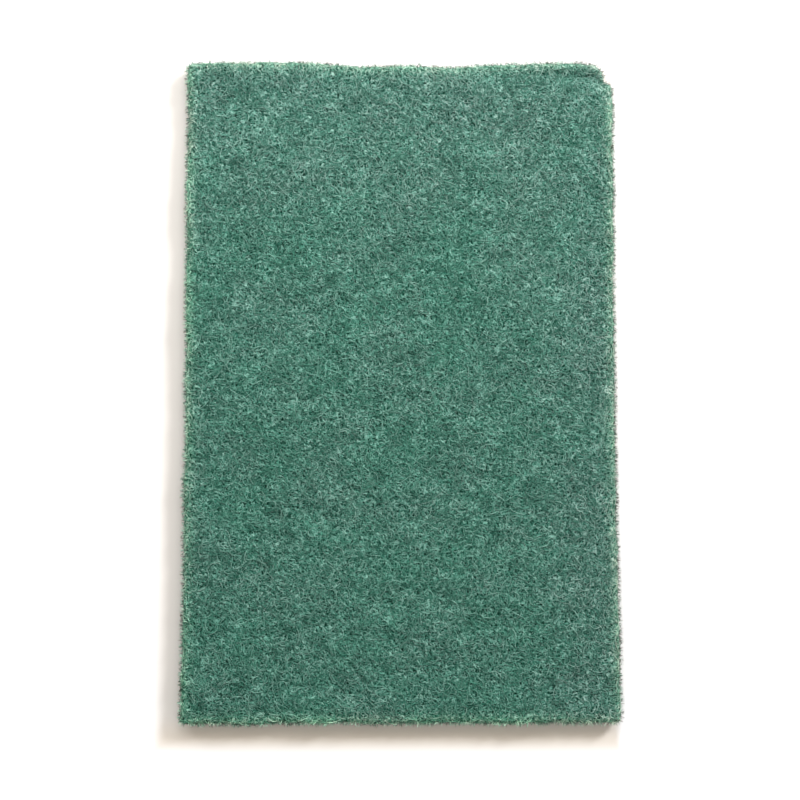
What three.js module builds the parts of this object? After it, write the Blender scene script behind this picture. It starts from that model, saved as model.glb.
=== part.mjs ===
// A hand-size nylon scouring pad: one piece of lofty nonwoven web, bonded with resin and cut from a roll.
// Millimetres, +Z up. The pad lies flat with its underside at z = 0 and its long side along Y,
// and the origin is under its middle.
import * as THREE from "three";
import { mergeVertices } from "three/addons/utils/BufferGeometryUtils.js";

// Overall size of the cut pad
const PAD_WIDTH = 150;
const PAD_LENGTH = 230;
const PAD_THICKNESS = 8;

// Corners, seen from above with +Y at the top: three crisp ones and one that is crushed
const BACK_LEFT_RADIUS = 1.3;
const BACK_RIGHT_RADIUS = 4.5;
const FRONT_LEFT_RADIUS = 1.3;
const FRONT_RIGHT_RADIUS = 1.6;
const CRUSHED_REACH = 22; // how far from the crushed corner its web is pressed down
const CRUSHED_DROP = 1.6; // how much thinner the web is at the very corner
const CRUSHED_PINCH = 3; // how far the crushed corner is drawn in from the side
const CRUSHED_NECK = 7.9; // how far in front of the back edge that begins
const CRUSHED_STEP = 2.6; // the length over which it is drawn in
const CRUSHED_TUCK = 1.4; // how far the drawn-in web is pushed forwards against that step
const CRUSHED_FALL = 1.5; // how far the back edge falls in at the crushed corner
const CRUSHED_FALL_REACH = 10; // how far from the side that begins

// The cut edges: a blade presses the web's rims, leaves a shallow dip in the back edge,
// and lets the front end spring out a little wider
const RIM_INSET = 0.7; // how far the faces' rims lie inside the widest part of the wall
const RIM_UPRIGHTNESS = 4; // power of the wall's profile: a higher one keeps it upright for longer
const RIM_DROP = 0.4; // how far the faces fall at their rims
const RIM_WIDTH = 4; // the band along each rim that falls
const FRAY = 0.9; // how unevenly the cut tufts end, outwards and inwards together
const BACK_DIP_DEPTH = 1.7;
const BACK_DIP_OFFSET = 8; // its middle, right of the pad's middle
const BACK_DIP_SPREAD = 30;
const FRONT_FLARE = 0.9; // on each side
const FLARE_START = 20; // where the flare begins, in front of the pad's middle
const CUT_WAVE = 0.8; // waviness of the cut, outwards and inwards together
const CUT_WAVE_LENGTH = 17;
const CUT_REACH = 12; // how far into the pad the cut's shape is carried

// The web's relief on its two faces
const LUMP_DEPTH = 0.9; // slow lofty lumps in the upper face
const LUMP_SIZE = 16;
const TUFT_DEPTH = 1.1; // roughness of single tufts and open pores in the upper face
const TUFT_STRAY = 1.6; // how far tufts stand sideways from even rows, both ways together
const HOLLOW_DEPTH = 0.8; // hollows in the underside, between the flat places that it rests on
const HOLLOW_SIZE = 9;
const HOLLOW_SHARE = 0.5; // noise above this level is a hollow

// The grid that the web is formed on: finer near the cut edges than in the middle
const CELLS_ACROSS = 40;
const CELLS_ALONG = 60;
const CELLS_THROUGH = 4;
const EDGE_CROWDING = 0.35; // 0 spaces the grid evenly, and 1 crowds it against the edges

// Each random feature of the web draws its own numbers
const SIDE_WAVE_SEED = 1;
const END_WAVE_SEED = 2;
const LUMP_SEED = 3;
const HOLLOW_SEED = 173; // leaves the underside flat at its middle
const TUFT_SEED = 100;
const FRAY_SEED = 200;
const STRAY_X_SEED = 300;
const STRAY_Y_SEED = 400;

// Odd multipliers that scatter neighbouring whole numbers far apart
const COLUMN_SCATTER = 374761393;
const ROW_SCATTER = 668265263;
const SEED_SCATTER = 144665;
const FINAL_SCATTER = 1274126177;

const WEB_GREEN = 0x4f796b;

// A repeatable number from 0 to 1 for each crossing of a lattice.
function latticeValue(column, row, seed) {
  let mixed = Math.imul(column, COLUMN_SCATTER) ^ Math.imul(row, ROW_SCATTER) ^ Math.imul(seed, SEED_SCATTER);
  mixed = Math.imul(mixed ^ (mixed >>> 13), FINAL_SCATTER);
  return ((mixed ^ (mixed >>> 16)) >>> 0) / 2 ** 32;
}

// Smooth noise from 0 to 1, whose bumps are about one size across.
function noise(x, y, size, seed) {
  const column = Math.floor(x / size);
  const row = Math.floor(y / size);
  const across = THREE.MathUtils.smoothstep(x / size - column, 0, 1);
  const along = THREE.MathUtils.smoothstep(y / size - row, 0, 1);
  const onRow = (line) =>
    THREE.MathUtils.lerp(latticeValue(column, line, seed), latticeValue(column + 1, line, seed), across);
  return THREE.MathUtils.lerp(onRow(row), onRow(row + 1), along);
}

// A repeatable number from -0.5 to 0.5 for each place on the block, whose coordinates run from -1 to 1.
function scatter(place, seed) {
  const column = Math.round(place.x * CELLS_ACROSS);
  const row = Math.round(place.y * CELLS_ALONG);
  return latticeValue(column, row, seed + Math.round(place.z * CELLS_THROUGH)) - 0.5;
}

// Moves an even grid position, from -1 to 1, towards the nearer edge.
function crowd(position) {
  return THREE.MathUtils.lerp(position, Math.sin((position * Math.PI) / 2), EDGE_CROWDING);
}

function cornerRadius(x, y) {
  if (y > 0) return x > 0 ? BACK_RIGHT_RADIUS : BACK_LEFT_RADIUS;
  return x > 0 ? FRONT_RIGHT_RADIUS : FRONT_LEFT_RADIUS;
}

// Pulls a point of a sharp rectangle onto the rounded one of the same ring, where ring is 1 at the cut edge.
function roundCorner(point, ring) {
  const radius = cornerRadius(point.x, point.y) * ring;
  const centreX = (ring * PAD_WIDTH) / 2 - radius;
  const centreY = (ring * PAD_LENGTH) / 2 - radius;
  const outX = Math.abs(point.x) - centreX;
  const outY = Math.abs(point.y) - centreY;
  if (outX <= 0 || outY <= 0) return;
  const pull = radius / Math.hypot(outX, outY);
  point.x = Math.sign(point.x) * (centreX + outX * pull);
  point.y = Math.sign(point.y) * (centreY + outY * pull);
}

// The direction out of the pad, seen from above, at a point of its rounded outline.
function outwardDirection(point) {
  const radius = cornerRadius(point.x, point.y);
  const outX = Math.max(0, Math.abs(point.x) - PAD_WIDTH / 2 + radius);
  const outY = Math.max(0, Math.abs(point.y) - PAD_LENGTH / 2 + radius);
  return new THREE.Vector2(Math.sign(point.x) * outX, Math.sign(point.y) * outY).normalize();
}

// Distance from the nearer long edge and short edge of the plain rectangle.
function edgeDistances(point) {
  return { side: PAD_WIDTH / 2 - Math.abs(point.x), end: PAD_LENGTH / 2 - Math.abs(point.y) };
}

// How far each edge is drawn in near the crushed corner, and the side's web pushed forwards against the step.
function crushedCorner(point, side, end) {
  if (point.x < 0 || point.y < 0) return { pinch: 0, tuck: 0, fall: 0 };
  const stepStart = CRUSHED_NECK - CRUSHED_STEP;
  const drawnIn = 1 - THREE.MathUtils.smoothstep(end, stepStart, CRUSHED_NECK);
  return {
    pinch: CRUSHED_PINCH * drawnIn,
    tuck: CRUSHED_TUCK * drawnIn * THREE.MathUtils.smoothstep(end, 0, stepStart),
    fall: CRUSHED_FALL * (1 - THREE.MathUtils.smoothstep(side, 0, CRUSHED_FALL_REACH)),
  };
}

// Carries the cut's shape into the pad: waviness all round, the dip in the back edge, the flared front
// and the edges that are drawn in at the crushed corner.
function shapeCut(point) {
  const { side, end } = edgeDistances(point);
  const sideShare = Math.max(0, 1 - side / CUT_REACH);
  const endShare = Math.max(0, 1 - end / CUT_REACH);
  const sideLine = Math.sign(point.x) * PAD_WIDTH;
  const endLine = Math.sign(point.y) * PAD_LENGTH;
  const sideWave = (noise(point.y, sideLine, CUT_WAVE_LENGTH, SIDE_WAVE_SEED) - 0.5) * CUT_WAVE;
  const endWave = (noise(point.x, endLine, CUT_WAVE_LENGTH, END_WAVE_SEED) - 0.5) * CUT_WAVE;
  const flare = FRONT_FLARE * THREE.MathUtils.smoothstep(-point.y, FLARE_START, PAD_LENGTH / 2);
  const fromDip = (point.x - BACK_DIP_OFFSET) / BACK_DIP_SPREAD;
  const dip = point.y > 0 ? BACK_DIP_DEPTH * Math.exp(-fromDip * fromDip) : 0;
  const { pinch, tuck, fall } = crushedCorner(point, side, end);
  point.x += Math.sign(point.x) * sideShare * (sideWave + flare - pinch);
  point.y += Math.sign(point.y) * endShare * (endWave - dip - fall) - sideShare * tuck;
}

// Moves a point of the cut wall in or out: the wall's rounded rims, and tufts that end unevenly.
function frayWall(point, outward, place) {
  const distance = FRAY * scatter(place, FRAY_SEED) - RIM_INSET * Math.abs(place.z) ** RIM_UPRIGHTNESS;
  point.x += outward.x * distance;
  point.y += outward.y * distance;
}

// Moves a point of a face sideways, so that the tufts stand in no rows, and less so towards the cut edges.
function strayTuft(point, place) {
  const { side, end } = edgeDistances(point);
  const reach = TUFT_STRAY * THREE.MathUtils.smoothstep(Math.min(side, end), 0, CUT_REACH);
  point.x += reach * scatter(place, STRAY_X_SEED);
  point.y += reach * scatter(place, STRAY_Y_SEED);
}

// How far the web is pressed down near the crushed corner.
function crushedDrop(point) {
  const fromCorner = Math.hypot(PAD_WIDTH / 2 - point.x, PAD_LENGTH / 2 - point.y);
  return CRUSHED_DROP * (1 - THREE.MathUtils.smoothstep(fromCorner, 0, CRUSHED_REACH));
}

// How far each face falls towards its rim.
function rimDrop(point) {
  const { side, end } = edgeDistances(point);
  return RIM_DROP * (1 - THREE.MathUtils.smoothstep(Math.min(side, end), 0, RIM_WIDTH));
}

// Height of the upper face: its lumps and tufts all lie below the pad's full thickness.
function upperHeight(point, place) {
  const lump = LUMP_DEPTH * noise(point.x, point.y, LUMP_SIZE, LUMP_SEED);
  const tuft = TUFT_DEPTH * (0.5 - scatter(place, TUFT_SEED));
  return PAD_THICKNESS - lump - tuft - rimDrop(point) - crushedDrop(point);
}

// Height of the underside above the surface that the pad lies on: flat places with hollows between them.
function undersideHeight(point) {
  const level = noise(point.x + HOLLOW_SIZE / 2, point.y + HOLLOW_SIZE / 2, HOLLOW_SIZE, HOLLOW_SEED);
  const hollow = (HOLLOW_DEPTH * Math.max(0, level - HOLLOW_SHARE)) / (1 - HOLLOW_SHARE);
  return hollow + rimDrop(point);
}

// Forms one point of the block, whose coordinates run from -1 to 1, into the web.
function formPoint(point) {
  const place = point.clone();
  const ring = Math.max(Math.abs(place.x), Math.abs(place.y));
  point.x = (crowd(place.x) * PAD_WIDTH) / 2;
  point.y = (crowd(place.y) * PAD_LENGTH) / 2;
  point.z = THREE.MathUtils.lerp(undersideHeight(point), upperHeight(point, place), (place.z + 1) / 2);
  roundCorner(point, crowd(ring));
  const outward = outwardDirection(point);
  shapeCut(point);
  if (ring === 1) frayWall(point, outward, place);
  else strayTuft(point, place);
}

// The web as one closed surface, formed from a finely divided block.
function webGeometry() {
  const block = new THREE.BoxGeometry(2, 2, 2, CELLS_ACROSS, CELLS_ALONG, CELLS_THROUGH);
  block.deleteAttribute("normal");
  block.deleteAttribute("uv");
  const web = mergeVertices(block);
  const places = web.getAttribute("position");
  const point = new THREE.Vector3();
  for (let i = 0; i < places.count; i++) {
    point.fromBufferAttribute(places, i);
    formPoint(point);
    places.setXYZ(i, point.x, point.y, point.z);
  }
  centreOverOrigin(web);
  web.computeVertexNormals();
  return web;
}

// Puts the underside's lowest place at z = 0 and the middle of the outline over the origin.
function centreOverOrigin(geometry) {
  geometry.computeBoundingBox();
  const { min, max } = geometry.boundingBox;
  geometry.translate(-(min.x + max.x) / 2, -(min.y + max.y) / 2, -min.z);
}

const scouringPad = new THREE.Group();
const pad = new THREE.Mesh(
  webGeometry(),
  new THREE.MeshStandardMaterial({ color: WEB_GREEN, roughness: 0.95, metalness: 0 }),
);
pad.name = "scouring_pad";
scouringPad.add(pad);

export default scouringPad;
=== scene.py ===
"""A nylon scouring pad: a lofty web of crimped, resin-bonded fibres, cut to a hand-size rectangle.

Everything is in metres with +Z up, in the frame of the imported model. The web's body stands for the plain
solid. Real fibres lie along its two faces and its cut edges, and their cut ends stand out of the edges.
"""

import logging
import math
from collections.abc import Iterator
from dataclasses import dataclass, field
from enum import Enum

import bmesh
import bpy
import numpy as np
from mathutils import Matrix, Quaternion, Vector, noise
from mathutils.bvhtree import BVHTree
from mathutils.kdtree import KDTree


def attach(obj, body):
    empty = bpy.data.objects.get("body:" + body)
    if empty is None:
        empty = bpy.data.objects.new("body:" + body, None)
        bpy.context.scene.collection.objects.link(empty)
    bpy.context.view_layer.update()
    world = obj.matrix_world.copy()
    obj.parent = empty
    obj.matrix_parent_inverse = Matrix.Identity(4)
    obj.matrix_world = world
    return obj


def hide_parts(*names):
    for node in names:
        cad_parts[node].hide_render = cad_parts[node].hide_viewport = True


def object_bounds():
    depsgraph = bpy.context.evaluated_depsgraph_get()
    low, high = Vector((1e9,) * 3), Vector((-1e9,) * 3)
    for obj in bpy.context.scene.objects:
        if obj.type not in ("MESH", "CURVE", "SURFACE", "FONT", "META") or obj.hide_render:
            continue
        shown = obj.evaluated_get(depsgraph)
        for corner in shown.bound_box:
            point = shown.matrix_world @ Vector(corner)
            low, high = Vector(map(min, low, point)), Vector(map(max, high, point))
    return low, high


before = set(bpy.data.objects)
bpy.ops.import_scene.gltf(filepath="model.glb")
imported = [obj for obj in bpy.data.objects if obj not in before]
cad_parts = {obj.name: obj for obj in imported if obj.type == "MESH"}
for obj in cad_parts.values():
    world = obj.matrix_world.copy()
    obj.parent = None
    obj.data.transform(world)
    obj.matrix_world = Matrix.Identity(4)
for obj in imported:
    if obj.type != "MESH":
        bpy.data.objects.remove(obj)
cad_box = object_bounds()

log = logging.getLogger("scouring_pad")

MM = 0.001
PAD_NODE = "scouring_pad"
BODY = "root"
TUBE_SIDES = 3

Colour = tuple[float, float, float]
WHITE: Colour = (1.0, 1.0, 1.0)


class Side(Enum):
    """The sides of the pad that fibres lie on."""

    UPPER = "upper"
    UNDER = "under"
    CUT = "cut"


def linear(red: int, green: int, blue: int) -> Colour:
    """Turns an 8-bit screen colour into the linear one that shaders take.

    Args:
        red: Red, from 0 to 255.
        green: Green, from 0 to 255.
        blue: Blue, from 0 to 255.

    Returns:
        The colour as linear red, green and blue.
    """
    shares = (red / 255, green / 255, blue / 255)
    return tuple(s / 12.92 if s <= 0.04045 else ((s + 0.055) / 1.055) ** 2.4 for s in shares)


class Shading:
    """The nodes of one material or world, and short ways to add and join them."""

    def __init__(self, owner: bpy.types.Material | bpy.types.World) -> None:
        """Empties a node tree.

        Args:
            owner: The material or world that the nodes belong to.
        """
        self.tree = owner.node_tree
        self.tree.nodes.clear()

    def add(self, kind: str, inputs: dict | None = None, **settings: object) -> bpy.types.Node:
        """Adds a node.

        Args:
            kind: Blender's identifier of the node.
            inputs: A value, or another node's output socket, for each named or numbered input.
            **settings: The node's own properties.

        Returns:
            The new node.
        """
        node = self.tree.nodes.new(kind)
        for name, value in settings.items():
            setattr(node, name, value)
        for name, value in (inputs or {}).items():
            if isinstance(value, bpy.types.NodeSocket):
                self.tree.links.new(value, node.inputs[name])
            else:
                node.inputs[name].default_value = value
        return node

    def maths(self, operation: str, first: object, second: object = 0.0) -> bpy.types.NodeSocket:
        """Adds a Math node.

        Args:
            operation: The node's operation.
            first: Its first value or the socket that gives it.
            second: Its second value or the socket that gives it.

        Returns:
            The result's socket.
        """
        return self.add("ShaderNodeMath", {0: first, 1: second}, operation=operation).outputs[0]

    def spread(self, value: object, low: float, high: float) -> bpy.types.NodeSocket:
        """Stretches a range of values to run from 0 to 1, and smooths its ends.

        Args:
            value: The socket to read.
            low: The value that becomes 0.
            high: The value that becomes 1.

        Returns:
            The result's socket.
        """
        inputs = {"Value": value, "From Min": low, "From Max": high}
        return self.add("ShaderNodeMapRange", inputs, interpolation_type="SMOOTHSTEP").outputs["Result"]

    def blend(self, share: object, first: object, second: object) -> bpy.types.NodeSocket:
        """Mixes two colours.

        Args:
            share: How much of the second colour shows, as a value or a socket.
            first: The colour at 0.
            second: The colour at 1.

        Returns:
            The mixed colour's socket.
        """
        node = self.add("ShaderNodeMix", {0: share}, data_type="RGBA")
        for place, colour in ((6, first), (7, second)):
            if isinstance(colour, bpy.types.NodeSocket):
                self.tree.links.new(colour, node.inputs[place])
            else:
                node.inputs[place].default_value = (*colour, 1.0)
        return node.outputs[2]

    def multiply(self, first: bpy.types.NodeSocket, second: bpy.types.NodeSocket) -> bpy.types.NodeSocket:
        """Multiplies two colours.

        Args:
            first: The first colour.
            second: The second colour.

        Returns:
            The product's socket.
        """
        return self.add(
            "ShaderNodeMix", {0: 1.0, 6: first, 7: second}, data_type="RGBA", blend_type="MULTIPLY"
        ).outputs[2]

    def noise(
        self, size: float, offset: float = 0.0, detail: float = 2.0, curl: float = 0.0
    ) -> bpy.types.NodeSocket:
        """Adds smooth noise on the object's own coordinates.

        Args:
            size: About how wide its bumps are, in metres.
            offset: Shifts the pattern, so that two noises of one size differ.
            detail: How many finer octaves it has.
            curl: How strongly it is distorted.

        Returns:
            The noise's value socket, from 0 to 1.
        """
        place = self.add("ShaderNodeTexCoord").outputs["Object"]
        shifted = self.add("ShaderNodeMapping", {"Vector": place, "Location": (offset, -offset, offset)})
        inputs = {"Vector": shifted.outputs[0], "Scale": 1 / size, "Detail": detail, "Distortion": curl}
        return self.add("ShaderNodeTexNoise", inputs).outputs[0]

    def finish(self, surface: bpy.types.Node) -> None:
        """Joins a shader to the material's output.

        Args:
            surface: The shader's node.
        """
        self.add("ShaderNodeOutputMaterial", {"Surface": surface.outputs[0]})


def node_material(name: str) -> bpy.types.Material:
    """Makes a material that nodes can be added to.

    Args:
        name: The material's name.

    Returns:
        The new material.
    """
    material = bpy.data.materials.new(name)
    material.use_nodes = True
    return material


def seen_rays(shading: Shading) -> bpy.types.NodeSocket:
    """Tells the rays that show a surface, straight or in gloss or glass, from those that light others.

    Args:
        shading: The material or world being made.

    Returns:
        The socket of a value that is 1 for the rays that show it and 0 for the rest.
    """
    rays = shading.add("ShaderNodeLightPath").outputs
    mirrored = shading.maths("MAXIMUM", rays["Is Glossy Ray"], rays["Is Transmission Ray"])
    return shading.maths("MAXIMUM", rays["Is Camera Ray"], mirrored)


@dataclass(frozen=True)
class GreenPatches:
    """Slow changes of tone: patches of dye, thinner places, a paler, greyer tone towards the back and the
    right, and painted light along the cut edges.
    """

    size: float = 22 * MM
    patch_levels: tuple[float, float] = (0.35, 0.65)  # noise at which a patch begins and is whole
    greyer: Colour = (0.95, 0.96, 0.92)
    greener: Colour = (0.84, 0.97, 0.9)
    mottle_size: float = 8 * MM
    mottle_levels: tuple[float, float] = (0.3, 0.7)
    mottle: Colour = (0.86, 0.87, 0.87)
    # a paler, greyer tone towards the back and the right
    pale_cast: Colour = (1.22, 1.04, 1.09)
    pale_cast_back: tuple[float, float] = (40 * MM, 118 * MM)  # where it begins and is whole, towards the back
    pale_cast_right: tuple[float, float] = (30 * MM, 80 * MM)
    # painted light: how much paler the top of the cut edges is made
    rim_light: Colour = (3.2, 2.3, 2.1)

    def paled(self, shading: Shading) -> bpy.types.NodeSocket:
        """Finds how much of the paler, greyer tone lies on each place.

        Args:
            shading: The material being made.

        Returns:
            The share's socket.
        """
        place = shading.add("ShaderNodeTexCoord").outputs["Object"]
        axes = shading.add("ShaderNodeSeparateXYZ", {"Vector": place}).outputs
        right = shading.spread(axes["X"], *self.pale_cast_right)
        return shading.maths("MAXIMUM", shading.spread(axes["Y"], *self.pale_cast_back), right)

    def over(self, shading: Shading, colour: bpy.types.NodeSocket) -> bpy.types.NodeSocket:
        """Tints a colour by the patches.

        Args:
            shading: The material being made.
            colour: The colour to tint.

        Returns:
            The tinted colour's socket.
        """
        share = shading.spread(shading.noise(self.size, offset=0.3), *self.patch_levels)
        tinted = shading.multiply(colour, shading.blend(share, self.greyer, self.greener))
        thin = shading.spread(shading.noise(self.mottle_size, offset=0.6, detail=3.0), *self.mottle_levels)
        thinned = shading.multiply(tinted, shading.blend(thin, WHITE, self.mottle))
        paled = shading.multiply(thinned, shading.blend(self.paled(shading), WHITE, self.pale_cast))
        # Painted light along the cut edges, standing for light that comes through the loosest fibres there.
        rim_light = shading.add("ShaderNodeAttribute", attribute_name="rim_light").outputs["Fac"]
        return shading.multiply(paled, shading.blend(rim_light, WHITE, self.rim_light))


@dataclass(frozen=True)
class WebFinish:
    """The matted web between the loose fibres: layer over layer of curling strands, the lower ones darker as
    painted shade, above pores painted dark as the shade inside the web.
    """

    # painted shade: the dark inside the web, seen through its pores
    pore: Colour = linear(0, 50, 36)
    # from the lowest layer to the top one; the lower ones darker as painted shade deeper in the web
    strands: tuple[Colour, ...] = (
        linear(38, 106, 87),
        linear(58, 124, 106),
        linear(74, 140, 122),
        linear(88, 154, 136),
        linear(104, 166, 149),
        linear(122, 183, 167),
        linear(142, 196, 182),
        linear(164, 212, 199),
    )
    strand_spacing: float = 0.9 * MM
    spacing_growth: float = 0.1  # how much wider each layer is spaced than the one under it
    strand_width: float = 0.055  # share of the noise's range that a strand covers
    strand_curl: float = 0.4
    pore_size: float = 0.8 * MM
    pore_levels: tuple[float, float] = (0.4, 0.3)  # noise at which a pore begins and is whole
    hollow_loft: float = 0.4  # painted shade: the web darkens where its loft is less, in the hollows between lumps and on the fold
    hollow_shade: float = 0.3  # how close the painted shade comes to the pores' tone in the deepest hollows
    relief: float = 0.35 * MM
    shine: float = 0.13
    roughness: float = 0.8
    patches: GreenPatches = field(default_factory=GreenPatches)

    def net(self, shading: Shading) -> tuple[bpy.types.NodeSocket, bpy.types.NodeSocket]:
        """Draws layers of curling lines, each along the middle level of its own noise.

        Args:
            shading: The material being made.

        Returns:
            The net's colour, and its height from 0 in a pore to 1 on the top layer.
        """
        colour, height = self.pore, 0.0
        for layer, strand in enumerate(self.strands, start=1):
            size = self.strand_spacing * (1 + self.spacing_growth * layer)
            level = shading.noise(size, offset=0.1 * layer, detail=0.6, curl=self.strand_curl)
            off_middle = shading.maths("ABSOLUTE", shading.maths("SUBTRACT", level, 0.5))
            line = shading.spread(off_middle, self.strand_width, 0.0)
            colour = shading.blend(line, colour, strand)
            lifted = shading.maths("MULTIPLY", line, layer / len(self.strands))
            height = shading.maths("MAXIMUM", height, lifted)
        return colour, height

    def material(self) -> bpy.types.Material:
        """Makes the web's material.

        Returns:
            The material.
        """
        material = node_material("web_green")
        shading = Shading(material)
        net, height = self.net(shading)
        loft = shading.add("ShaderNodeAttribute", attribute_name="loft").outputs["Fac"]
        open_pore = shading.spread(shading.noise(self.pore_size, offset=0.9, detail=1.0), *self.pore_levels)
        # painted shade where the loft is low, in the hollows between lumps and on the fold
        painted_hollow_shade = shading.maths("MULTIPLY", shading.spread(loft, self.hollow_loft, 0.0), self.hollow_shade)
        sunk = shading.maths("MAXIMUM", open_pore, painted_hollow_shade)
        colour = self.patches.over(shading, shading.blend(sunk, net, self.pore))
        bump = shading.add("ShaderNodeBump", {"Height": height, "Strength": 1.0, "Distance": self.relief})
        surface = shading.add(
            "ShaderNodeBsdfPrincipled",
            {
                "Base Color": colour,
                "Roughness": self.roughness,
                "Specular IOR Level": self.shine,
                "Normal": bump.outputs[0],
            },
        )
        shading.finish(surface)
        return material


@dataclass(frozen=True)
class FibreFinish:
    """Nylon fibres with a skin of green resin, from shaded ones deep in the web to pale ones on top."""

    tip: Colour = linear(58, 66, 56)
    deep: Colour = linear(18, 88, 70)
    middle: Colour = linear(98, 162, 144)
    pale: Colour = linear(176, 220, 208)
    shine: float = 0.15
    roughness: float = 0.6
    patches: GreenPatches = field(default_factory=GreenPatches)

    def material(self) -> bpy.types.Material:
        """Makes the fibres' material, which reads how pale each place is from their "tint" attribute.

        Returns:
            The material.
        """
        material = node_material("fibre_green")
        shading = Shading(material)
        tint = shading.add("ShaderNodeAttribute", attribute_name="tint").outputs["Fac"]
        lower = shading.blend(shading.spread(tint, 0.0, 0.5), self.deep, self.middle)
        colour = shading.blend(shading.spread(tint, 0.5, 1.0), lower, self.pale)
        colour = shading.blend(shading.spread(tint, 0.0, -1.0), colour, self.tip)
        surface = shading.add(
            "ShaderNodeBsdfPrincipled",
            {
                "Base Color": self.patches.over(shading, colour),
                "Roughness": self.roughness,
                "Specular IOR Level": self.shine,
            },
        )
        shading.finish(surface)
        return material


def place_piece(piece: bpy.types.Object, material: bpy.types.Material) -> None:
    """Gives a piece its material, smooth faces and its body.

    Args:
        piece: The finished mesh object.
        material: The material that it wears.
    """
    piece.data.materials.clear()
    piece.data.materials.append(material)
    piece.data.shade_smooth()
    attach(piece, BODY)


def linked_object(name: str, data: bpy.types.ID) -> bpy.types.Object:
    """Makes an object of some data in the scene.

    Args:
        name: The object's name.
        data: Its mesh, curve, lamp or camera.

    Returns:
        The new object.
    """
    made = bpy.data.objects.new(name, data)
    bpy.context.scene.collection.objects.link(made)
    return made


def evaluated_mesh(source: bpy.types.Object) -> bpy.types.Mesh:
    """Takes the mesh that an object's modifiers or bevel give, and removes the object.

    Args:
        source: The object.

    Returns:
        The new mesh.
    """
    graph = bpy.context.evaluated_depsgraph_get()
    mesh = bpy.data.meshes.new_from_object(source.evaluated_get(graph))
    bpy.data.objects.remove(source)
    return mesh


@dataclass
class Crease:
    """The fold line where the back right corner was crushed, as an arc seen from above."""

    start: Vector = field(default_factory=lambda: Vector((54 * MM, 109 * MM)))
    middle: Vector = field(default_factory=lambda: Vector((66 * MM, 110 * MM)))
    end: Vector = field(default_factory=lambda: Vector((71 * MM, 106.5 * MM)))
    depth: float = 1.15 * MM
    half_width: float = 1.3 * MM
    steps: int = 12

    def line(self) -> list[Vector]:
        """Walks the fold.

        Returns:
            Points along it, from one end to the other.
        """
        shares = [i / self.steps for i in range(self.steps + 1)]
        return [
            self.start.lerp(self.middle, share).lerp(self.middle.lerp(self.end, share), share)
            for share in shares
        ]

    def pressed(self, place: Vector) -> float:
        """Says how much of the fold's depth a place has.

        Args:
            place: A point on the web.

        Returns:
            From 0, off the fold, to 1, on its line.
        """
        if place.x < self.start.x - 2 * self.half_width or place.y < self.end.y - 2 * self.half_width:
            return 0.0
        gap = min((place.xy - spot).length for spot in self.line())
        return max(0.0, 1 - (gap / (2 * self.half_width)) ** 2) ** 2


@dataclass
class PaintedRimLight:
    """Painted light along the top of the cut edges: a paler tone that stands for light coming through the
    loosest fibres there, made stronger on the shaded left and front to lift their shade.
    """

    fade: float = 1.3 * MM  # how far into the pad it falls to about a third
    wall_low: float = 3 * MM  # below this height the cut wall has the web's own tone
    wall_high: float = 6.5 * MM
    most: float = 0.7  # share along the back and the right
    left: float = 1.0  # share along the shaded left, more, so that the painted light lifts its shade
    front: float = 1.3  # share along the shaded front, most, so that the painted light lifts its shade
    turn: float = 8 * MM  # how far from a corner it changes from one side's share to the next
    outline: KDTree = field(default_factory=lambda: KDTree(0))

    def trace(self, wall: np.ndarray) -> None:
        """Takes the outline of the pad, seen from above.

        Args:
            wall: Places on the cut wall.
        """
        self.outline = KDTree(len(wall))
        for i, place in enumerate(wall):
            self.outline.insert((place[0], place[1], 0), i)
        self.outline.balance()

    def share(self, place: Vector) -> float:
        """Says how much of the painted light along the cut edges a place has.

        Args:
            place: A point on the web or a fibre.

        Returns:
            From 0, inside the pad or low on its wall, to that side's share, along the top of its cut wall.
            The materials take more than 1 as 1.
        """
        edge, _, gap = self.outline.find((place.x, place.y, 0))
        height = (place.z - self.wall_low) / (self.wall_high - self.wall_low)
        nearness = math.exp(-gap / self.fade) * min(1.0, max(0.0, height))
        at_left = max(0.0, 1 - (edge.x - cad_box[0][0]) / self.turn)
        at_front = max(0.0, 1 - (edge.y - cad_box[0][1]) / self.turn)
        side = max((self.left - self.most) * at_left, (self.front - self.most) * at_front)
        return nearness * (self.most + side)


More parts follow.
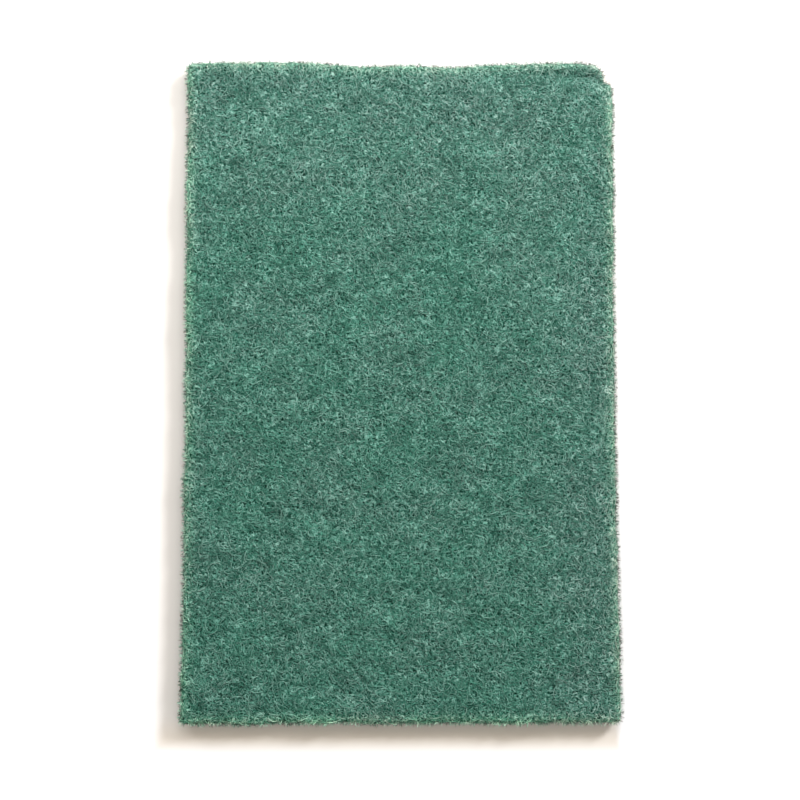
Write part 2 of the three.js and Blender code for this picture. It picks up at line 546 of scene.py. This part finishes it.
@dataclass
class WebBody:
    """The matted body of the pad, a little inside its fibres."""

    weld: float = 0.01 * MM
    voxel: float = 1.15 * MM
    inset: float = 0.5 * MM
    edge_inset: float = 0.9 * MM  # more at the cut edges, where loose ends take its place
    lump_size: float = 2.2 * MM
    lump_depth: float = 0.13 * MM
    coarse_lumps: float = 1.2  # how much the lumps count
    fine_lumps: float = 0.8  # how much the smaller lumps on them count
    fine_size: float = 0.45  # their size, as a share of the coarse ones'
    fine_shift: Vector = field(default_factory=lambda: Vector((7, 3, 5)))  # so that the two don't line up
    still_level: float = 0.3  # what is lower than this sinks, and what is higher rises
    upper_slope: float = 0.3  # least upward share of the normal where the fold is pressed in
    fold_shade: float = 0.9  # painted shade on the fold: how much of its loft, which only the material reads, the web loses there
    finish: WebFinish = field(default_factory=WebFinish)
    crease: Crease = field(default_factory=Crease)

    def blank(self) -> bpy.types.Mesh:
        """Rebuilds the plain solid as an even, finely divided skin.

        Returns:
            The mesh, in the solid's place.
        """
        solid = bmesh.new()
        solid.from_mesh(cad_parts[PAD_NODE].data)
        bmesh.ops.remove_doubles(solid, verts=solid.verts, dist=self.weld)
        mesh = bpy.data.meshes.new("web_blank")
        solid.to_mesh(mesh)
        solid.free()
        blank = linked_object("web_blank", mesh)
        remesh = blank.modifiers.new("even_skin", "REMESH")
        remesh.mode = "VOXEL"
        remesh.voxel_size = self.voxel
        return evaluated_mesh(blank)

    def press_crease(self, skin: bmesh.types.BMesh) -> None:
        """Pushes the upper face down along the corner's fold.

        Args:
            skin: The web's skin.
        """
        for vert in skin.verts:
            if vert.normal.z > self.upper_slope:
                vert.co.z -= self.crease.depth * self.crease.pressed(vert.co)

    def shape(self) -> bmesh.types.BMesh:
        """Makes the smooth surface that the fibres lie along.

        Returns:
            The skin, inside the solid by its inset.
        """
        skin = bmesh.new()
        mesh = self.blank()
        skin.from_mesh(mesh)
        bpy.data.meshes.remove(mesh)
        bmesh.ops.smooth_vert(
            skin, verts=skin.verts, factor=0.5, use_axis_x=True, use_axis_y=True, use_axis_z=True
        )
        skin.normal_update()
        shrink = Vector([1 - self.edge_inset / half for half in cad_box[1][:2]] + [1.0])
        for vert in skin.verts:
            vert.co = (vert.co - vert.normal * self.inset) * shrink
        self.press_crease(skin)
        skin.normal_update()
        return skin

    def roughen(self, skin: bmesh.types.BMesh, rim_light: PaintedRimLight) -> None:
        """Raises lumps and opens pores all over, and keeps their height as the "loft" attribute.

        Args:
            skin: The web's skin.
            rim_light: The painted light along the cut edges, whose share is kept as an attribute of the same
                name.
        """
        loft = skin.verts.layers.float.new("loft")
        rim_light_layer = skin.verts.layers.float.new("rim_light")
        moved = []
        for vert in skin.verts:
            coarse = noise.noise(vert.co / self.lump_size)
            fine = noise.noise(vert.co / (self.fine_size * self.lump_size) + self.fine_shift)
            level = max(-1.0, min(1.0, self.coarse_lumps * coarse + self.fine_lumps * fine))
            pressed = self.crease.pressed(vert.co)
            # The loft, which only the material reads, becomes painted shade in the hollows and, lowered
            # here, on the fold.
            vert[loft] = (0.5 + 0.5 * level) * (1 - self.fold_shade * pressed)
            vert[rim_light_layer] = rim_light.share(vert.co) * (1 - pressed)
            moved.append(vert.co + vert.normal * (self.lump_depth * (level - self.still_level)))
        for vert, place in zip(skin.verts, moved, strict=True):
            vert.co = place
        skin.normal_update()

    def build(self, skin: bmesh.types.BMesh, rim_light: PaintedRimLight) -> bpy.types.Object:
        """Makes the piece that stands for the solid.

        Args:
            skin: The smooth surface from shape(), which this roughens.
            rim_light: The painted light along the cut edges.

        Returns:
            The web's body.
        """
        self.roughen(skin, rim_light)
        mesh = bpy.data.meshes.new("web_body")
        skin.to_mesh(mesh)
        piece = linked_object("web_body", mesh)
        place_piece(piece, self.finish.material())
        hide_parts(PAD_NODE)
        return piece


class Guide:
    """The web's smooth surface, as something to lay fibres along."""

    FACE_SLOPE = 0.6  # least upright share of the normal on the two faces; the cut edges have less

    def __init__(self, skin: bmesh.types.BMesh) -> None:
        """Sorts the surface's faces by side.

        Args:
            skin: The smooth surface.
        """
        self.tree = BVHTree.FromBMesh(skin)
        centres = np.array([face.calc_center_median() for face in skin.faces])
        normals = np.array([face.normal for face in skin.faces])
        areas = np.array([face.calc_area() for face in skin.faces])
        turned_up = normals[:, 2]
        groups = {
            Side.UPPER: turned_up > self.FACE_SLOPE,
            Side.UNDER: turned_up < -self.FACE_SLOPE,
            Side.CUT: abs(turned_up) <= self.FACE_SLOPE,
        }
        self.spots = {side: centres[group] for side, group in groups.items()}
        self.shares = {side: areas[group] / areas[group].sum() for side, group in groups.items()}

    def scatter(self, side: Side, count: int, jitter: float, rng: np.random.Generator) -> Iterator[Vector]:
        """Picks places on one side, evenly over its area.

        Args:
            side: The side.
            count: How many places.
            jitter: How far each is moved off its face's middle, at most.
            rng: The random numbers.

        Yields:
            A place near the surface.
        """
        chosen = rng.choice(len(self.spots[side]), size=count, p=self.shares[side])
        shifts = rng.uniform(-jitter, jitter, (count, 3))
        for place in self.spots[side][chosen] + shifts:
            yield Vector(place)

    def snap(self, place: Vector) -> tuple[Vector, Vector]:
        """Finds the surface's nearest place.

        Args:
            place: Any point.

        Returns:
            The nearest place on the surface and the way out of it there.
        """
        spot, outward, _, _ = self.tree.find_nearest(place)
        return spot, outward


@dataclass
class FibreLayer:
    """Crimped fibres that lie along one side of the web, each weaving out of it and back in."""

    name: str
    side: Side
    seed: int
    fibres: int
    steps: int = 9
    stride: float = 0.95 * MM
    radius: float = 0.09 * MM
    tip: float = 0.0  # thickness of the far end, as a share of the radius
    rise_least: float = 0.25 * MM
    rise_most: float = 0.7 * MM
    sink: float = 0.4 * MM
    most_waves: float = 2.2
    weave_middle: float = 0.45  # height that it weaves round, as a share of its rise
    jitter: float = 0.5 * MM
    curl: tuple[float, float] = (0.1, 0.5)  # least and most turn at each stride, in radians
    wander: float = 0.16
    tones: tuple[float, float] = (0.25, 1.1)  # how pale the darkest and the palest fibre is
    end_tone: float = 0.4  # how pale its ends are, as a share of its middle: painted shade where they sink into the web
    # how pale the whole layer is; the lower layers are darker as painted shade
    palest: float = 1.0

    def path(self, guide: Guide, start: Vector, rng: np.random.Generator) -> list[Vector]:
        """Walks one fibre along the web.

        Args:
            guide: The web's surface.
            start: Where the fibre starts.
            rng: The random numbers.

        Returns:
            The fibre's points.
        """
        spot, outward = guide.snap(start)
        heading = Vector(rng.normal(size=3))
        turn = rng.choice((-1, 1)) * rng.uniform(*self.curl)
        heights = self.heights(rng)
        points = []
        for height in heights:
            point = spot + outward * height
            point.z = max(point.z, self.radius)
            points.append(point)
            heading = (heading - outward * heading.dot(outward)).normalized()
            heading.rotate(Quaternion(outward, turn + rng.normal(0, self.wander)))
            spot, outward = guide.snap(spot + heading * self.stride)
        return points

    def heights(self, rng: np.random.Generator) -> list[float]:
        """Draws how one fibre weaves, with both of its ends sunk in the web.

        Args:
            rng: The random numbers.

        Returns:
            The height over the web's surface at each of its points.
        """
        along = np.linspace(0, 1, self.steps + 1)
        phase, waves = rng.uniform(0, math.tau), rng.uniform(1, self.most_waves)
        weave = self.weave_middle + (1 - self.weave_middle) * np.sin(math.tau * waves * along + phase)
        arch = np.sin(np.pi * along) ** 0.5
        rise = rng.uniform(self.rise_least, self.rise_most)
        return [float(height) for height in arch * (rise * weave + self.sink) - self.sink]

    def tints(self, path: list[Vector], rng: np.random.Generator) -> np.ndarray:
        """Draws how pale one fibre is at each of its points.

        Args:
            path: The fibre's points; not used here.
            rng: The random numbers.

        Returns:
            A number from 0, deep, to 1, pale, for each point.
        """
        inward = np.sin(np.pi * np.linspace(0, 1, self.steps + 1))
        fade = self.end_tone + (1 - self.end_tone) * inward
        return np.clip(self.palest * rng.uniform(*self.tones) * fade, 0, 1)

    def build(self, guide: Guide, rim_light: PaintedRimLight, material: bpy.types.Material) -> bpy.types.Object:
        """Lays all the fibres and makes them one piece.

        Args:
            guide: The web's surface.
            rim_light: The painted light along the cut edges.
            material: The fibres' material.

        Returns:
            The piece.
        """
        rng = np.random.default_rng(self.seed)
        starts = list(guide.scatter(self.side, self.fibres, self.jitter, rng))
        paths = [self.path(guide, start, rng) for start in starts]
        shades = {
            "tint": np.array([self.tints(path, rng) for path in paths]),
            "rim_light": np.array([[rim_light.share(point) for point in path] for path in paths]),
        }
        tubes = Tubes(self.radius, self.tip)
        piece = linked_object(self.name, tubes.mesh(self.name, paths, shades))
        place_piece(piece, material)
        return piece


@dataclass
class CutEnds(FibreLayer):
    """Fibre ends that the blade left standing out of the cut edges."""

    steps: int = 3
    radius: float = 0.1 * MM
    tip: float = 0.75
    root_depth: float = 0.8 * MM
    reach_least: float = 0.3 * MM
    reach_most: float = 1.7 * MM
    curl: tuple[float, float] = (0.0, 0.3)
    wander: float = 0.12
    follow: float = 0.4  # how far the ends follow the edge's slope up or down
    splay: float = 0.5  # radians off the straight way out, to the side
    splay_upright: float = 0.2  # the same up and down
    tones: tuple[float, float] = (0.7, 1.0)
    dark_tips: float = 0.6  # share of the fibres with a dark tip, at the back and the right
    dark_tips_left: float = 0.35
    dark_tips_front: float = 0.05
    back_or_right: float = 0.5  # an end that points this much back or right counts as there

    def path(self, guide: Guide, start: Vector, rng: np.random.Generator) -> list[Vector]:
        """Walks one fibre out of the cut edge.

        Args:
            guide: The web's surface.
            start: Where the fibre leaves the web.
            rng: The random numbers.

        Returns:
            The fibre's points.
        """
        spot, outward = guide.snap(start)
        level = Vector((outward.x, outward.y, self.follow * outward.z)).normalized()
        heading = level.copy()
        heading.rotate(Quaternion(Vector((0, 0, 1)), rng.normal(0, self.splay)))
        heading.rotate(Quaternion(Vector((-level.y, level.x, 0)), rng.normal(0, self.splay_upright)))
        turn = rng.choice((-1, 1)) * rng.uniform(*self.curl)
        point = spot - heading * self.root_depth
        stride = (self.root_depth + rng.uniform(self.reach_least, self.reach_most)) / self.steps
        points = []
        for _ in range(self.steps + 1):
            point.z = max(point.z, self.radius)
            points.append(point.copy())
            heading.rotate(Quaternion(Vector((0, 0, 1)), turn + rng.normal(0, self.wander)))
            point = point + heading * stride
        return points

    def dark_share(self, outward: Vector) -> float:
        """Says how many ends have a dark tip on one side of the pad.

        Args:
            outward: The way out of the pad there.

        Returns:
            Their share of all the ends.
        """
        if outward.y < -abs(outward.x):
            return self.dark_tips_front
        lit = max(outward.x, outward.y) > self.back_or_right
        return self.dark_tips if lit else self.dark_tips_left

    def tints(self, path: list[Vector], rng: np.random.Generator) -> np.ndarray:
        """Draws how pale one fibre is at each of its points, with some dark at the tip.

        Args:
            path: The fibre's points.
            rng: The random numbers.

        Returns:
            A number from 0, deep, to 1, pale, for each point, and -1 on a dark tip.
        """
        tints = np.full(self.steps + 1, rng.uniform(*self.tones))
        outward = (path[-1] - path[0]).normalized()
        if rng.random() < self.dark_share(outward):
            tints[-2:] = -1.0
        return tints


@dataclass(frozen=True)
class Tubes:
    """Slim three-sided tubes along fibre paths, pointed where they start."""

    radius: float
    tip: float = 0.0  # thickness at the far end, as a share of the radius
    shoulder: float = 0.8  # thickness next to an end
    weld: float = 0.001 * MM
    cell_margin: float = 0.08  # empty rim of each fibre's cell on the bake map

    def profile(self) -> bpy.types.Object:
        """Makes the tubes' section.

        Returns:
            A closed curve of three corners.
        """
        curve = bpy.data.curves.new("fibre_section", "CURVE")
        corners = curve.splines.new("POLY")
        corners.points.add(TUBE_SIDES - 1)
        for i, corner in enumerate(corners.points):
            angle = math.tau * i / TUBE_SIDES
            corner.co = (self.radius * math.cos(angle), self.radius * math.sin(angle), 0, 1)
        corners.use_cyclic_u = True
        return linked_object("fibre_section", curve)

    def mesh(self, name: str, paths: list[list[Vector]], shades: dict[str, np.ndarray]) -> bpy.types.Mesh:
        """Sweeps the section along every path.

        Args:
            name: The mesh's name.
            paths: The points of each fibre, as many for each.
            shades: For each attribute that the material reads, its value at each point of each fibre.

        Returns:
            One mesh with those attributes and a bake map. Ends with a thickness stay open.
        """
        rings = len(paths[0])
        thickness = [0.0, self.shoulder, *[1.0] * (rings - 4), max(self.shoulder, self.tip), self.tip]
        section = self.profile()
        curve = bpy.data.curves.new(name, "CURVE")
        curve.dimensions = "3D"
        curve.bevel_mode = "OBJECT"
        curve.bevel_object = section
        for path in paths:
            spline = curve.splines.new("POLY")
            spline.points.add(rings - 1)
            spline.points.foreach_set("co", [x for point in path for x in (*point, 1.0)])
            spline.points.foreach_set("radius", thickness)
        mesh = evaluated_mesh(linked_object(name, curve))
        bpy.data.objects.remove(section)
        for shade, values in shades.items():
            attribute = mesh.attributes.new(shade, "FLOAT", "POINT")
            attribute.data.foreach_set("value", np.repeat(values.ravel(), TUBE_SIDES).astype(np.float32))
        self.lay_out(mesh, len(paths), rings)
        return self.pointed(mesh, name)

    def lay_out(self, mesh: bpy.types.Mesh, count: int, rings: int) -> None:
        """Gives each fibre a cell of its own on the map that patterns are baked through.

        Args:
            mesh: The swept mesh, whose own map runs from 0 to 1 along and round each fibre.
            count: How many fibres it has.
            rings: How many points each fibre has.
        """
        own = mesh.uv_layers[0]
        places = np.zeros(len(mesh.loops) * 2, np.float32)
        own.uv.foreach_get("vector", places)
        verts = np.zeros(len(mesh.loops), np.int32)
        mesh.loops.foreach_get("vertex_index", verts)
        fibre = verts // (rings * TUBE_SIDES)
        columns = math.ceil(math.sqrt(count))
        inside = self.cell_margin + places.reshape(-1, 2) * (1 - 2 * self.cell_margin)
        cells = np.stack([fibre % columns, fibre // columns], axis=1)
        own.name = "OFBake"
        own.uv.foreach_set("vector", ((cells + inside) / columns).astype(np.float32).ravel())

    def pointed(self, mesh: bpy.types.Mesh, name: str) -> bpy.types.Mesh:
        """Joins the corners of each end that has no thickness.

        Args:
            mesh: The swept mesh.
            name: The mesh's name.

        Returns:
            The same mesh, with those ends closed.
        """
        tubes = bmesh.new()
        tubes.from_mesh(mesh)
        bmesh.ops.remove_doubles(tubes, verts=tubes.verts, dist=self.weld)
        bmesh.ops.recalc_face_normals(tubes, faces=tubes.faces)
        tubes.to_mesh(mesh)
        tubes.free()
        mesh.name = name
        return mesh


@dataclass(frozen=True)
class Lamp:
    """A square soft light that faces the pad."""

    name: str
    place: tuple[float, float, float]
    size: float
    watts: float

    def hang(self) -> None:
        """Puts the lamp in the scene."""
        light = bpy.data.lights.new(self.name, "AREA")
        light.size = self.size
        light.energy = self.watts
        lamp = linked_object(self.name, light)
        lamp.location = self.place
        lamp.rotation_mode = "QUATERNION"
        lamp.rotation_quaternion = (-Vector(self.place)).to_track_quat("-Z", "Y")


@dataclass
class Studio:
    """A plain pale floor under soft light, seen from above as in the photograph."""

    lamps: tuple[Lamp, ...] = (
        Lamp("window", (0.86, 0.76, 0.72), size=0.28, watts=13.7),
        Lamp("softbox", (0.02, 0.33, 0.36), size=0.32, watts=1.08),
        Lamp("fill", (-0.4, 0.42, 0.3), size=0.35, watts=1.19),
    )
    floor_size: float = 4.0
    floor_colour: Colour = (0.95, 0.9, 0.85)
    # painted shadow: the lower glow where the pad's shadow falls
    shadow_glow: Colour = (0.26, 0.235, 0.21)
    front_shadow_glow: Colour = (0.3, 0.243, 0.175)  # painted shadow: a warmer glow where the pad's shadow falls at its front
    far_glow: Colour = (0.5, 0.52, 0.55)  # clear of the pad and its shadow
    shadow_reach: float = 4.5 * MM
    shadow_fade: float = 7 * MM
    lit_fade: float = 3 * MM  # on the two sides that the lamps are on
    contact_reach: float = 14 * MM  # painted contact shadow: how far from the pad ambient occlusion dims the floor's glow
    sky_strength: float = 0.18
    frame_width: float = 273.3 * MM  # what the picture's width spans at the pad
    camera_height: float = 450 * MM
    camera_tilt: float = math.radians(3.4)
    sensor: float = 36.0
    aim: Vector = field(default_factory=lambda: Vector((-0.2 * MM, -4.05 * MM, 7 * MM)))

    def clear_of_pad(self, shading: Shading) -> bpy.types.NodeSocket:
        """Finds the floor beyond the band where the pad's shadow is painted into the glow.

        Args:
            shading: The floor's material.

        Returns:
            The socket of a share that is 0 in the pad's shadow and 1 clear of it.
        """
        place = shading.add("ShaderNodeTexCoord").outputs["Object"]
        axes = shading.add("ShaderNodeSeparateXYZ", {"Vector": place}).outputs
        clear = 0.0
        for axis, low, high in zip(("X", "Y"), cad_box[0], cad_box[1], strict=False):
            shaded_end = low - self.shadow_reach
            shaded = shading.spread(axes[axis], shaded_end, shaded_end - self.shadow_fade)
            lit = shading.spread(axes[axis], high - self.lit_fade, high)
            clear = shading.maths("MAXIMUM", clear, shading.maths("MAXIMUM", shaded, lit))
        return clear

    def ahead_of_pad(self, shading: Shading) -> bpy.types.NodeSocket:
        """Finds the floor in front of the pad.

        Args:
            shading: The floor's material.

        Returns:
            The socket of a share that is 0 beside the pad and 1 ahead of its front edge.
        """
        place = shading.add("ShaderNodeTexCoord").outputs["Object"]
        ahead = shading.add("ShaderNodeSeparateXYZ", {"Vector": place}).outputs["Y"]
        edge = cad_box[0][1]
        return shading.spread(ahead, edge + self.shadow_reach, edge - self.shadow_reach)

    def floor(self) -> None:
        """Makes the floor, which looks white to the camera, keeps the pad's cast shadow, and has a painted
        shadow in its glow by the pad.
        """
        plane = bmesh.new()
        bmesh.ops.create_grid(plane, x_segments=1, y_segments=1, size=self.floor_size / 2)
        mesh = bpy.data.meshes.new("floor")
        plane.to_mesh(mesh)
        plane.free()
        material = node_material("floor_white")
        shading = Shading(material)
        paint = shading.add("ShaderNodeBsdfDiffuse", {"Color": (*self.floor_colour, 1.0)})
        # Painted shadow: the glow that the camera sees is dimmed by ambient occlusion by the pad, lower
        # where its shadow falls, and warmer at its front.
        near = shading.add("ShaderNodeAmbientOcclusion", {"Distance": self.contact_reach}).outputs["AO"]
        strength = shading.maths("MULTIPLY", seen_rays(shading), near)
        shaded = shading.blend(self.ahead_of_pad(shading), self.shadow_glow, self.front_shadow_glow)
        tone = shading.blend(self.clear_of_pad(shading), shaded, self.far_glow)
        glow = shading.add("ShaderNodeEmission", {"Color": tone, "Strength": strength})
        both = shading.add("ShaderNodeAddShader", {0: paint.outputs[0], 1: glow.outputs[0]})
        shading.finish(both)
        mesh.materials.append(material)
        floor = linked_object("floor", mesh)

    def sky(self) -> None:
        """Surrounds the pad with even pale light, which looks white to the camera."""
        world = bpy.data.worlds.new("pale_room")
        world.use_nodes = True
        shading = Shading(world)
        seen = shading.add("ShaderNodeMapRange", {"Value": seen_rays(shading), "To Min": self.sky_strength})
        strength = seen.outputs["Result"]
        background = shading.add("ShaderNodeBackground", {"Color": (*WHITE, 1.0), "Strength": strength})
        shading.add("ShaderNodeOutputWorld", {"Surface": background.outputs[0]})
        bpy.context.scene.world = world

    def camera(self) -> None:
        """Sets the camera above the pad, a little towards its front."""
        lens = bpy.data.cameras.new("camera")
        lens.sensor_width = self.sensor
        lens.lens = self.sensor * self.camera_height / self.frame_width
        camera = linked_object("camera", lens)
        back = Vector((0, -math.sin(self.camera_tilt), math.cos(self.camera_tilt)))
        camera.location = self.aim + back * self.camera_height
        camera.rotation_euler = (self.camera_tilt, 0, 0)
        bpy.context.scene.camera = camera

    def build(self) -> None:
        """Makes the floor, the light and the camera."""
        self.floor()
        for lamp in self.lamps:
            lamp.hang()
        self.sky()
        self.camera()
        bpy.context.scene.view_settings.view_transform = "Standard"


def layers() -> list[FibreLayer]:
    """Lists the layers of fibres, from the upper face down.

    Returns:
        The layers.
    """
    return [
        FibreLayer("upper_fibres_low", Side.UPPER, seed=11, fibres=4100, rise_most=0.4 * MM, palest=0.75),
        FibreLayer("upper_fibres_middle", Side.UPPER, seed=12, fibres=4100, rise_most=0.55 * MM, palest=0.9),
        FibreLayer("upper_fibres_high", Side.UPPER, seed=13, fibres=4100),
        FibreLayer("under_fibres", Side.UNDER, seed=14, fibres=1800),
        FibreLayer("edge_fibres", Side.CUT, seed=15, fibres=500),
        CutEnds("cut_ends", Side.CUT, seed=16, fibres=9500),
    ]


def main() -> None:
    """Builds the pad and its studio."""
    logging.basicConfig(level=logging.INFO, format="%(name)s: %(message)s")
    web = WebBody()
    skin = web.shape()
    guide = Guide(skin)
    rim_light = PaintedRimLight()
    rim_light.trace(guide.spots[Side.CUT])
    body = web.build(skin, rim_light)
    skin.free()
    log.info("%s: %d faces", body.name, len(body.data.polygons))
    fibre_green = FibreFinish().material()
    for layer in layers():
        piece = layer.build(guide, rim_light, fibre_green)
        log.info("%s: %d fibres, %d faces", piece.name, layer.fibres, len(piece.data.polygons))
    Studio().build()


if __name__ == "__main__":
    main()
